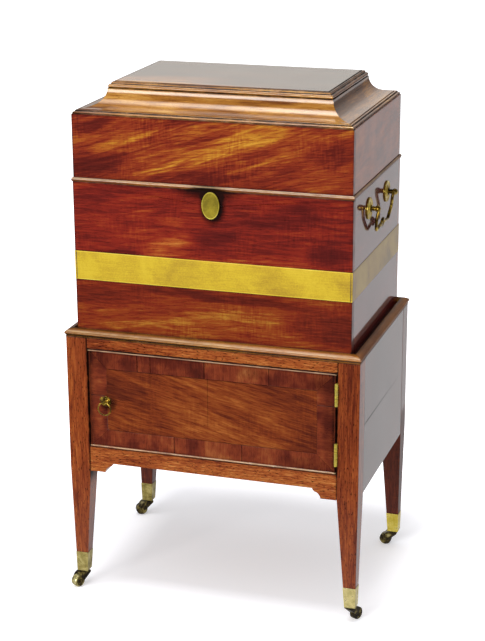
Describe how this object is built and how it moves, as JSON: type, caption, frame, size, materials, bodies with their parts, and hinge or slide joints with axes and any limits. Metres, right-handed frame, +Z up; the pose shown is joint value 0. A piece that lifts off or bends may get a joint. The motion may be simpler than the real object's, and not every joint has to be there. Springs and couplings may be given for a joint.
{
  "type": "cellarette",
  "caption": "Mahogany cellarette: a lift-off bottle chest with a coved hinged lid, brass band and side handles, on a cupboard stand with tapered legs and brass casters.",
  "frame": {"origin": "on the floor under the middle of the stand", "axes": "+Z up, the front with the door faces -Y, +X to the right of someone facing the front"},
  "size_m": [0.5075, 0.3541, 0.8613],
  "materials": {
    "stand_mahogany": "French polished mahogany, orange-brown",
    "stand_side_mahogany": "French polished mahogany, vertical grain",
    "moulding_mahogany": "French polished mahogany",
    "inner_wood": "dull, unpolished",
    "door_mahogany": "figured mahogany veneer, polished",
    "crossbanding": "mahogany crossbanding, polished",
    "chest_mahogany": "French polished mahogany, red-brown",
    "lid_mahogany": "French polished mahogany, red-brown with golden streaks",
    "bright_brass": "old brass, worn bright",
    "pale_brass": "pale brass, lightly scuffed",
    "dark_brass": "tarnished brass",
    "handle_brass": "old cast brass, dark in the hollows",
    "lock_brass": "dull brass"
  },
  "bodies": {
    "stand": {"leg_front_left": "stand_mahogany", "leg_front_right": "stand_mahogany", "leg_back_left": "stand_mahogany", "leg_back_right": "stand_mahogany", "caster_socket_front_left": "pale_brass", "caster_socket_front_right": "pale_brass", "caster_socket_back_left": "pale_brass", "caster_socket_back_right": "pale_brass", "stand_side_left": "stand_side_mahogany", "stand_side_right": "stand_side_mahogany", "stand_back": "stand_side_mahogany", "front_top_rail": "stand_mahogany", "front_bottom_rail": "stand_mahogany", "cupboard_floor": "inner_wood", "stand_dust_board": "inner_wood", "stand_moulding": "moulding_mahogany", "door_hinge_leg_leaves": "bright_brass"},
    "door": {"door_board": "door_mahogany", "door_field_veneer": "door_mahogany", "door_crossbanding": "crossbanding", "door_cockbead": "moulding_mahogany", "door_hinge_door_leaves": "bright_brass", "pull_backplate": "handle_brass"},
    "door_latch": {"pull_spindle": "handle_brass", "door_catch": "lock_brass"},
    "pull_ring": {"pull_ring": "handle_brass"},
    "chest": {"chest_front": "chest_mahogany", "chest_back": "chest_mahogany", "chest_side_left": "chest_mahogany", "chest_side_right": "chest_mahogany", "chest_bottom": "inner_wood", "chest_bead": "moulding_mahogany", "brass_band": "bright_brass", "divider_long": "inner_wood", "divider_cross": "inner_wood", "lock_case": "lock_brass", "keyhole_plate": "bright_brass", "handle_rosettes": "handle_brass", "handle_posts": "handle_brass", "lid_hinge_chest_leaves": "bright_brass"},
    "lock_bolt": {"lock_bolt": "lock_brass"},
    "keyhole_cover": {"keyhole_cover": "bright_brass"},
    "handle_bail_left": {"handle_bail_left": "handle_brass"},
    "handle_bail_right": {"handle_bail_right": "handle_brass"},
    "lid": {"lid_front": "lid_mahogany", "lid_back": "lid_mahogany", "lid_side_left": "lid_mahogany", "lid_side_right": "lid_mahogany", "lid_moulding": "moulding_mahogany", "lid_cap": "lid_mahogany", "lid_link_plate": "lock_brass", "lid_hinge_lid_leaves": "bright_brass"},
    "caster_fork_front_left": {"caster_fork_front_left": "dark_brass"},
    "caster_wheel_front_left": {"caster_wheel_front_left": "dark_brass"},
    "caster_fork_front_right": {"caster_fork_front_right": "dark_brass"},
    "caster_wheel_front_right": {"caster_wheel_front_right": "dark_brass"},
    "caster_fork_back_left": {"caster_fork_back_left": "dark_brass"},
    "caster_wheel_back_left": {"caster_wheel_back_left": "dark_brass"},
    "caster_fork_back_right": {"caster_fork_back_right": "dark_brass"},
    "caster_wheel_back_right": {"caster_wheel_back_right": "dark_brass"}
  },
  "joints": [
    {"name": "chest_lift", "type": "slide", "parent": "stand", "child": "chest", "axis": [0, 0, 1], "range_m": [0, 0.3]},
    {"name": "lid_hinge", "type": "hinge", "parent": "chest", "child": "lid", "pos_m": [0, 0.1634, 0.7137], "axis": [-1, 0, 0], "range_deg": [0, 95]},
    {"name": "lock_bolt_slide", "type": "slide", "parent": "chest", "child": "lock_bolt", "axis": [1, 0, 0], "range_m": [0, 0.008]},
    {"name": "keyhole_cover_swing", "type": "hinge", "parent": "chest", "child": "keyhole_cover", "pos_m": [0.002, -0.16135, 0.6988], "axis": [0, 1, 0], "range_deg": [-90, 90]},
    {"name": "handle_right_swing", "type": "hinge", "parent": "chest", "child": "handle_bail_right", "pos_m": [0.244, 0, 0.672], "axis": [0, -1, 0], "range_deg": [-5, 95]},
    {"name": "handle_left_swing", "type": "hinge", "parent": "chest", "child": "handle_bail_left", "pos_m": [-0.244, 0, 0.672], "axis": [0, 1, 0], "range_deg": [-5, 95]},
    {"name": "door_hinge", "type": "hinge", "parent": "stand", "child": "door", "pos_m": [0.21025, -0.17225, 0.346], "axis": [0, 0, 1], "range_deg": [0, 170]},
    {"name": "door_latch_turn", "type": "hinge", "parent": "door", "child": "door_latch", "pos_m": [-0.18, -0.1676, 0.343], "axis": [0, 1, 0], "range_deg": [0, 90]},
    {"name": "pull_ring_swing", "type": "hinge", "parent": "door_latch", "child": "pull_ring", "pos_m": [-0.18, -0.1765, 0.343], "axis": [-1, 0, 0], "range_deg": [-12, 85]},
    {"name": "caster_swivel_front_left", "type": "hinge", "parent": "stand", "child": "caster_fork_front_left", "pos_m": [-0.2345, -0.155, 0.028], "axis": [0, 0, 1], "continuous": true},
    {"name": "caster_roll_front_left", "type": "hinge", "parent": "caster_fork_front_left", "child": "caster_wheel_front_left", "pos_m": [-0.24202, -0.16704, 0.0105], "axis": [0.848, -0.5299, 0], "continuous": true},
    {"name": "caster_swivel_front_right", "type": "hinge", "parent": "stand", "child": "caster_fork_front_right", "pos_m": [0.2345, -0.155, 0.028], "axis": [0, 0, 1], "continuous": true},
    {"name": "caster_roll_front_right", "type": "hinge", "parent": "caster_fork_front_right", "child": "caster_wheel_front_right", "pos_m": [0.24028, -0.14203, 0.0105], "axis": [-0.9135, 0.4067, 0], "continuous": true},
    {"name": "caster_swivel_back_left", "type": "hinge", "parent": "stand", "child": "caster_fork_back_left", "pos_m": [-0.2345, 0.155, 0.028], "axis": [0, 0, 1], "continuous": true},
    {"name": "caster_roll_back_left", "type": "hinge", "parent": "caster_fork_back_left", "child": "caster_wheel_back_left", "pos_m": [-0.24627, 0.14706, 0.0105], "axis": [0.5592, -0.829, 0], "continuous": true},
    {"name": "caster_swivel_back_right", "type": "hinge", "parent": "stand", "child": "caster_fork_back_right", "pos_m": [0.2345, 0.155, 0.028], "axis": [0, 0, 1], "continuous": true},
    {"name": "caster_roll_back_right", "type": "hinge", "parent": "caster_fork_back_right", "child": "caster_wheel_back_right", "pos_m": [0.2203, 0.155, 0.0105], "axis": [0, -1, 0], "continuous": true}
  ]
}
